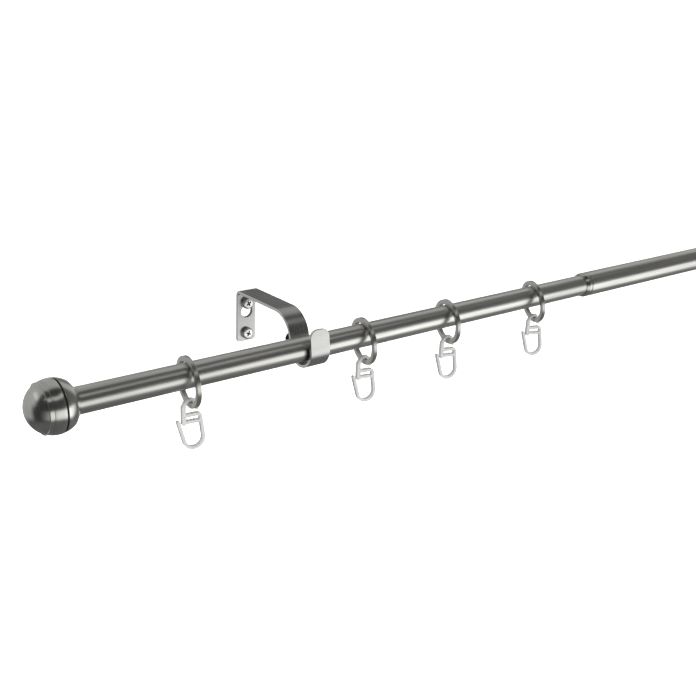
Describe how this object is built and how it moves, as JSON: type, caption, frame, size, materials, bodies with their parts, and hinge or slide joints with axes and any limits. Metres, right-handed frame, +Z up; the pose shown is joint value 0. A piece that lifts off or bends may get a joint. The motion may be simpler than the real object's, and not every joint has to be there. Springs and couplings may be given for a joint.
{
  "type": "curtain rod with brackets",
  "caption": "Telescopic metal curtain rod on two strap wall brackets, with grooved ball finials, flat rings and plastic pleat hooks.",
  "frame": {"origin": "on the wall plane, on the back face of the left bracket's plate, at its middle across the rod and level with the rod's axis", "axes": "+X along the rod from the left bracket to the right one, +Y into the wall, +Z up"},
  "size_m": [1.1331, 0.1204, 0.0681],
  "materials": {
    "thin_tube": "brushed along the tube",
    "thick_tube": "brushed along the tube",
    "collar": "metal-coloured plastic, satin",
    "guide_plastic": "moulded",
    "bracket_steel": "satin nickel",
    "fixing_screw": "blackened",
    "wall_screw": "zinc plated",
    "finial": "turned and brushed",
    "spacer": "matt",
    "stud": "zinc plated",
    "plug": "moulded",
    "ring": "satin nickel",
    "hook": "translucent white"
  },
  "bodies": {
    "wall_bracket_left": {"bracket_left": "bracket_steel", "wall_screw_left_upper": "wall_screw", "wall_screw_left_lower": "wall_screw"},
    "fixing_screw_left": {"fixing_screw_left": "fixing_screw"},
    "thin_rod": {"inner_tube": "thin_tube", "inner_tube_guide": "guide_plastic", "tube_plug_left": "plug", "finial_rear_left": "finial", "finial_spacer_left": "spacer", "finial_front_left": "finial", "finial_stud_left": "stud"},
    "thick_rod": {"outer_tube": "thick_tube", "outer_tube_collar": "collar", "tube_plug_right": "plug", "finial_rear_right": "finial", "finial_spacer_right": "spacer", "finial_front_right": "finial", "finial_stud_right": "stud"},
    "wall_bracket_right": {"bracket_right": "bracket_steel", "wall_screw_right_upper": "wall_screw", "wall_screw_right_lower": "wall_screw"},
    "fixing_screw_right": {"fixing_screw_right": "fixing_screw"},
    "ring_01": {"ring_01": "ring"},
    "hook_01": {"hook_01": "hook"},
    "ring_02": {"ring_02": "ring"},
    "hook_02": {"hook_02": "hook"},
    "ring_03": {"ring_03": "ring"},
    "hook_03": {"hook_03": "hook"},
    "ring_04": {"ring_04": "ring"},
    "hook_04": {"hook_04": "hook"},
    "ring_05": {"ring_05": "ring"},
    "hook_05": {"hook_05": "hook"},
    "ring_06": {"ring_06": "ring"},
    "hook_06": {"hook_06": "hook"},
    "ring_07": {"ring_07": "ring"},
    "hook_07": {"hook_07": "hook"},
    "ring_08": {"ring_08": "ring"},
    "hook_08": {"hook_08": "hook"},
    "ring_09": {"ring_09": "ring"},
    "hook_09": {"hook_09": "hook"}
  },
  "joints": [
    {"name": "rod_slide", "type": "slide", "parent": "wall_bracket_left", "child": "thin_rod", "axis": [1, 0, 0], "range_m": [-0.008, 0.05]},
    {"name": "telescope", "type": "slide", "parent": "thin_rod", "child": "thick_rod", "axis": [1, 0, 0], "range_m": [-0.02, 0.065]},
    {"name": "bracket_right_slide", "type": "slide", "parent": "thick_rod", "child": "wall_bracket_right", "axis": [1, 0, 0], "range_m": [-0.02, 0.03]},
    {"name": "fixing_screw_left_turn_in", "type": "slide", "parent": "wall_bracket_left", "child": "fixing_screw_left", "axis": [0, 1, 0], "range_m": [0, 0.004]},
    {"name": "fixing_screw_right_turn_in", "type": "slide", "parent": "wall_bracket_right", "child": "fixing_screw_right", "axis": [0, 1, 0], "range_m": [0, 0.004]},
    {"name": "ring_01_slide", "type": "slide", "parent": "thin_rod", "child": "ring_01", "axis": [1, 0, 0], "range_m": [-0.018, 0.018]},
    {"name": "hook_01_swing", "type": "hinge", "parent": "ring_01", "child": "hook_01", "pos_m": [-0.08878, -0.07617, -0.0201], "axis": [0.1219, 0.9925, 0], "range_deg": [-20, 20]},
    {"name": "ring_02_slide", "type": "slide", "parent": "thin_rod", "child": "ring_02", "axis": [1, 0, 0], "range_m": [-0.014, 0.014]},
    {"name": "hook_02_swing", "type": "hinge", "parent": "ring_02", "child": "hook_02", "pos_m": [0.04621, -0.07637, -0.02002], "axis": [0.1736, 0.9848, 0], "range_deg": [-20, 20]},
    {"name": "ring_03_slide", "type": "slide", "parent": "thin_rod", "child": "ring_03", "axis": [1, 0, 0], "range_m": [-0.017, 0.017]},
    {"name": "hook_03_swing", "type": "hinge", "parent": "ring_03", "child": "hook_03", "pos_m": [0.12353, -0.07649, -0.01998], "axis": [0.2079, 0.9781, 0], "range_deg": [-20, 20]},
    {"name": "ring_04_slide", "type": "slide", "parent": "thin_rod", "child": "ring_04", "axis": [1, 0, 0], "range_m": [-0.017, 0.017]},
    {"name": "hook_04_swing", "type": "hinge", "parent": "ring_04", "child": "hook_04", "pos_m": [0.21414, -0.07725, -0.0197], "axis": [0.309, 0.9511, 0], "range_deg": [-20, 20]},
    {"name": "ring_05_slide", "type": "slide", "parent": "thick_rod", "child": "ring_05", "axis": [1, 0, 0], "range_m": [-0.015, 0.015]},
    {"name": "hook_05_swing", "type": "hinge", "parent": "ring_05", "child": "hook_05", "pos_m": [0.45879, -0.07659, -0.01841], "axis": [0.2079, 0.9781, 0], "range_deg": [-20, 20]},
    {"name": "ring_06_slide", "type": "slide", "parent": "thick_rod", "child": "ring_06", "axis": [1, 0, 0], "range_m": [-0.015, 0.015]},
    {"name": "hook_06_swing", "type": "hinge", "parent": "ring_06", "child": "hook_06", "pos_m": [0.53065, -0.07637, -0.01848], "axis": [-0.1564, 0.9877, 0], "range_deg": [-20, 20]},
    {"name": "ring_07_slide", "type": "slide", "parent": "thick_rod", "child": "ring_07", "axis": [1, 0, 0], "range_m": [-0.015, 0.015]},
    {"name": "hook_07_swing", "type": "hinge", "parent": "ring_07", "child": "hook_07", "pos_m": [0.61365, -0.07705, -0.01824], "axis": [0.2756, 0.9613, 0], "range_deg": [-20, 20]},
    {"name": "ring_08_slide", "type": "slide", "parent": "thick_rod", "child": "ring_08", "axis": [1, 0, 0], "range_m": [-0.015, 0.015]},
    {"name": "hook_08_swing", "type": "hinge", "parent": "ring_08", "child": "hook_08", "pos_m": [0.6851, -0.07583, -0.01855], "axis": [0.0872, 0.9962, 0], "range_deg": [-20, 20]},
    {"name": "ring_09_slide", "type": "slide", "parent": "thick_rod", "child": "ring_09", "axis": [1, 0, 0], "range_m": [-0.018, 0.018]},
    {"name": "hook_09_swing", "type": "hinge", "parent": "ring_09", "child": "hook_09", "pos_m": [0.84221, -0.07623, -0.01855], "axis": [-0.1219, 0.9925, 0], "range_deg": [-20, 20]}
  ]
}
